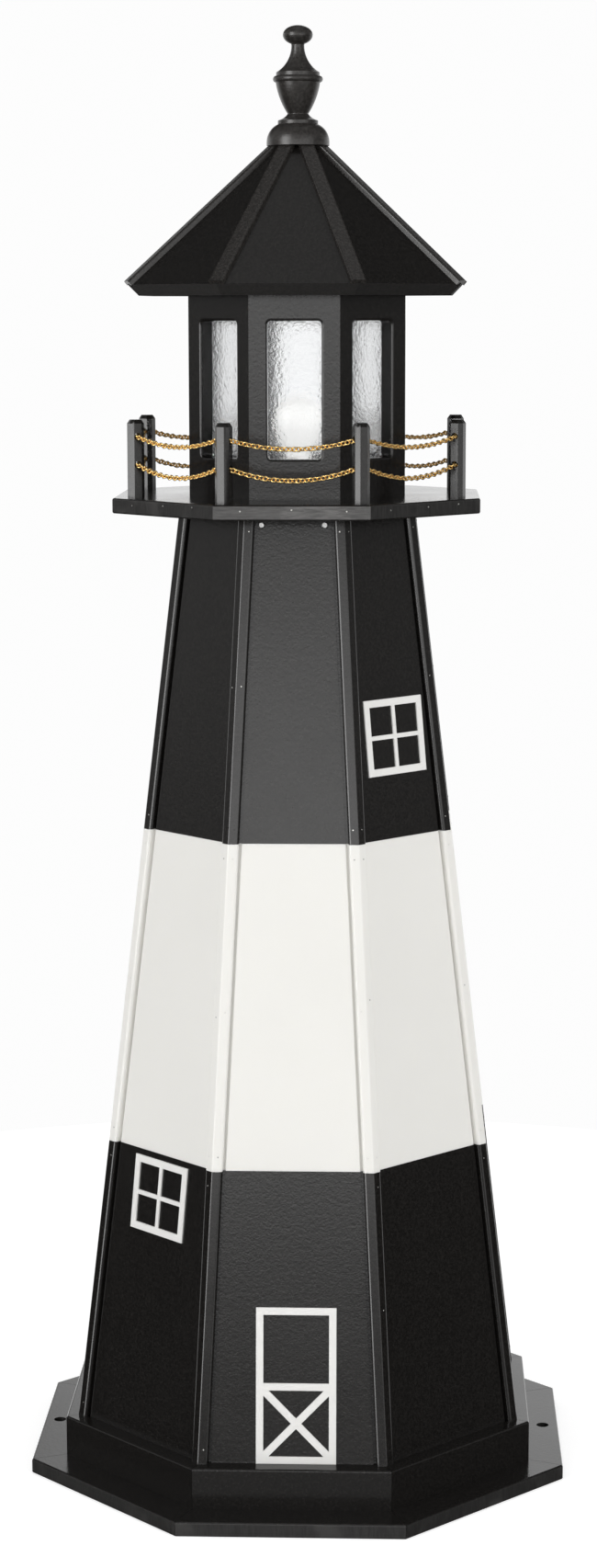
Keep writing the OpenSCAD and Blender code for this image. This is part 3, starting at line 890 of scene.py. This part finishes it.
def glue_dabs():
    """Uneven dabs of glue in the corners of the window openings, with a quarter of them left out."""
    settings = bpy.context.scene.lighthouse_panes
    chance = random.Random("glue")
    mesh = bmesh.new()
    for k in range(SIDES):
        for across, up in ((-1, -1), (1, 1), (1, -1), (-1, 1)):
            if chance.random() < 0.25:
                continue
            size = settings.glue * chance.uniform(0.6, 1.1)
            x = across * (OPENING_W / 2 - 0.2 * size)
            y = up * (OPENING_H / 2 - size * chance.uniform(0.1, 0.9))
            dab = bmesh.ops.create_icosphere(mesh, subdivisions=3, radius=size / 2)["verts"]
            seed = Vector((k, across, up))
            for v in dab:
                v.co *= 1 + 0.45 * noise.noise(v.co * (2.2 / size) + 5 * seed)
            bmesh.ops.scale(mesh, vec=(0.55, 1.0, 0.6), verts=dab)
            bmesh.ops.transform(mesh, matrix=pane_stand(k) @ Matrix.Translation((x, y, 0)), verts=dab)
    return mesh


class LIGHTHOUSE_OT_stage(bpy.types.Operator):
    """Set the camera, the lights, the white world and the floor."""

    bl_idname = "lighthouse.stage"
    bl_label = "Studio"

    def execute(self, context):
        scene = context.scene
        scene.view_settings.view_transform = "Standard"
        add_camera(scene)
        add_world(scene)
        add_lights(scene)
        add_floor(scene)
        return {"FINISHED"}


def add_camera(scene):
    """The camera, where the photograph was taken from."""
    studio = scene.lighthouse_studio
    data = bpy.data.cameras.new("camera")
    data.sensor_fit = "HORIZONTAL"
    data.sensor_width = 36.0
    data.lens = studio.lens
    data.clip_end = 50.0
    camera = bpy.data.objects.new("camera", data)
    scene.collection.objects.link(camera)
    level = Matrix.Rotation(studio.yaw, 4, "Z") @ Matrix.Rotation(math.pi / 2 - studio.pitch, 4, "X")
    camera.matrix_world = Matrix.Translation(studio.place) @ level @ Matrix.Rotation(studio.roll, 4, "Z")
    scene.camera = camera


Card = namedtuple("Card", "azimuth half soft low high rise glow")
# what the gloss of the boards shows round about. A card's azimuth is counted from the camera's side
# to the right; half is half its width, soft and rise are how far its sides and its ends fade, and low
# and high are its ends in elevation, all in degrees. Glow is its brightness.
CARDS = {
    "strip light behind the camera": Card(0, 35, 12, -3, 8, 3, 2.3),
    "wall behind the camera": Card(0, 35, 12, -3, 45, 4, 0.80),
    "floor before the camera": Card(0, 38, 15, -90, -3, 4, 0.34),
    "left soft box": Card(-46, 12, 7, -14, 32, 6, 8.0),
    "right soft box": Card(46, 12, 7, -14, 32, 6, 1.3),
    "left wall": Card(-92, 30, 10, -2, 50, 5, 0.42),
    "right wall": Card(92, 30, 10, -2, 50, 5, 0.24),
    "paper behind": Card(180, 62, 10, -22, 14, 4, 1.15),
    "upper paper behind": Card(178, 10, 5, 14, 30, 4, 1.35),
    "ceiling": Card(0, 181, 0, 62, 91, 8, 0.36),
}
BETWEEN_CARDS = 0.04


def seen_straight(tree, rays):
    """1 for what the camera sees, also through a pane."""
    return sums(tree, "MAXIMUM", rays.outputs["Is Camera Ray"], rays.outputs["Is Transmission Ray"])


def add_world(scene):
    """White for the camera, cards for the gloss, an even grey for the rest."""
    studio = scene.lighthouse_studio
    world = bpy.data.worlds.new("studio")
    scene.world = world
    world.use_nodes = True
    tree = world.node_tree
    rays = wire(tree, "LightPath")
    way = wire(tree, "TexCoord").outputs["Generated"]
    elevation = sums(tree, "MULTIPLY", sums(tree, "ARCSINE", share_of(tree, way, "Z")), math.degrees(1))
    flat = wire(tree, "VectorMath", {0: way, 1: (1, 1, 0)}, operation="MULTIPLY").outputs[0]
    level = wire(tree, "VectorMath", {0: flat}, operation="NORMALIZE").outputs[0]
    glossy = BETWEEN_CARDS
    for card in CARDS.values():
        glossy = sums(tree, "ADD", glossy, card_glow(tree, card, level, elevation))
    unseen = wire(
        tree, "Mix", {0: rays.outputs["Is Glossy Ray"], 2: studio.ambient, 3: glossy}, data_type="FLOAT"
    )
    strength = wire(
        tree, "Mix", {0: seen_straight(tree, rays), 2: unseen.outputs[0], 3: studio.paper},
        data_type="FLOAT",
    )
    feed(tree, tree.nodes["Background"], {"Color": (1, 1, 1, 1), "Strength": strength.outputs[0]})


def card_glow(tree, card, level, elevation):
    """Brightness that a card adds in a direction, given its level part and its elevation."""
    turn = math.radians(card.azimuth)
    towards = wire(
        tree, "VectorMath", {0: level, 1: (math.sin(turn), -math.cos(turn), 0)}, operation="DOT_PRODUCT"
    ).outputs["Value"]
    above = ramp(tree, elevation, card.low - card.rise, card.low + card.rise)
    glow = sums(tree, "MULTIPLY", above, card.glow)
    if card.half < 180:
        outer = math.cos(math.radians(card.half + card.soft))
        inner = math.cos(math.radians(card.half - card.soft))
        glow = sums(tree, "MULTIPLY", glow, ramp(tree, towards, outer, inner))
    if card.high < 90:
        over = ramp(tree, elevation, card.high - card.rise, card.high + card.rise)
        glow = sums(tree, "MULTIPLY", glow, sums(tree, "SUBTRACT", 1.0, over))
    return glow


def add_lights(scene):
    """Two large soft boxes in front, left and right; the gloss sees them as cards of the world."""
    distance = 4.2
    height = 1.9
    aim = Vector((0, 0, 0.9))
    for name, turn in (("left_box", -44), ("right_box", 46)):
        data = bpy.data.lights.new(name, "AREA")
        data.shape = "RECTANGLE"
        data.size = 1.2
        data.size_y = 2.0
        data.energy = scene.lighthouse_studio.boxes
        box = bpy.data.objects.new(name, data)
        scene.collection.objects.link(box)
        box.visible_glossy = False
        out = Matrix.Rotation(math.radians(turn), 4, "Z") @ Vector((0, -distance, 0))
        box.location = out + Vector((0, 0, height))
        box.rotation_euler = (aim - box.location).to_track_quat("-Z", "Y").to_euler()


def add_floor(scene):
    """A round of white paper that keeps the shadow and melts into the white world."""
    mesh = bmesh.new()
    bmesh.ops.create_circle(mesh, cap_ends=True, segments=96, radius=scene.lighthouse_studio.floor)
    data = bpy.data.meshes.new("floor")
    mesh.to_mesh(data)
    mesh.free()
    floor = bpy.data.objects.new("floor", data)
    scene.collection.objects.link(floor)
    floor.visible_glossy = False
    material = bpy.data.materials.new("paper")
    material.use_nodes = True
    tree = material.node_tree
    tree.nodes.remove(tree.nodes["Principled BSDF"])
    paper = wire(tree, "BsdfDiffuse", {"Color": (0.75, 0.75, 0.75, 1)})
    shown = seen_straight(tree, wire(tree, "LightPath"))
    glow = wire(tree, "Emission", {"Strength": sums(tree, "MULTIPLY", shown, 0.55)})
    both = wire(tree, "AddShader", {0: paper.outputs[0], 1: glow.outputs[0]})
    tree.links.new(both.outputs[0], tree.nodes["Material Output"].inputs["Surface"])
    data.materials.append(material)


# ---- panel, registration and main ----


class LIGHTHOUSE_PT_panel(bpy.types.Panel):
    """The lighthouse's pieces and settings."""

    bl_idname = "LIGHTHOUSE_PT_panel"
    bl_label = "Garden lighthouse"
    bl_space_type = "VIEW_3D"
    bl_region_type = "UI"
    bl_category = "Lighthouse"

    def draw(self, context):
        for name, group in SETTINGS.items():
            box = self.layout.box()
            box.label(text=group.__doc__)
            for key in group.__annotations__:
                box.prop(getattr(context.scene, name), key)
        for operator in OPERATORS:
            self.layout.operator(operator.bl_idname)


SETTINGS = {
    "lighthouse_boards": BoardSettings,
    "lighthouse_trims": TrimSettings,
    "lighthouse_chains": ChainSettings,
    "lighthouse_panes": PaneSettings,
    "lighthouse_nails": NailSettings,
    "lighthouse_studio": StudioSettings,
}
OPERATORS = (
    LIGHTHOUSE_OT_stage,
    LIGHTHOUSE_OT_boards,
    LIGHTHOUSE_OT_trims,
    LIGHTHOUSE_OT_nails,
    LIGHTHOUSE_OT_posts,
    LIGHTHOUSE_OT_lamp,
    LIGHTHOUSE_OT_chains,
    LIGHTHOUSE_OT_panes,
)


def register():
    for name, group in SETTINGS.items():
        bpy.utils.register_class(group)
        setattr(bpy.types.Scene, name, PointerProperty(type=group))
    for cls in (*OPERATORS, LIGHTHOUSE_PT_panel):
        bpy.utils.register_class(cls)


def unregister():
    for cls in (LIGHTHOUSE_PT_panel, *reversed(OPERATORS)):
        bpy.utils.unregister_class(cls)
    for name, group in reversed(SETTINGS.items()):
        delattr(bpy.types.Scene, name)
        bpy.utils.unregister_class(group)


def main():
    register()
    bpy.ops.lighthouse.stage()
    bpy.ops.lighthouse.boards()
    bpy.ops.lighthouse.trims()
    bpy.ops.lighthouse.nails()
    bpy.ops.lighthouse.posts()
    bpy.ops.lighthouse.lamp()
    bpy.ops.lighthouse.chains()
    bpy.ops.lighthouse.panes()


if __name__ == "__main__":
    main()
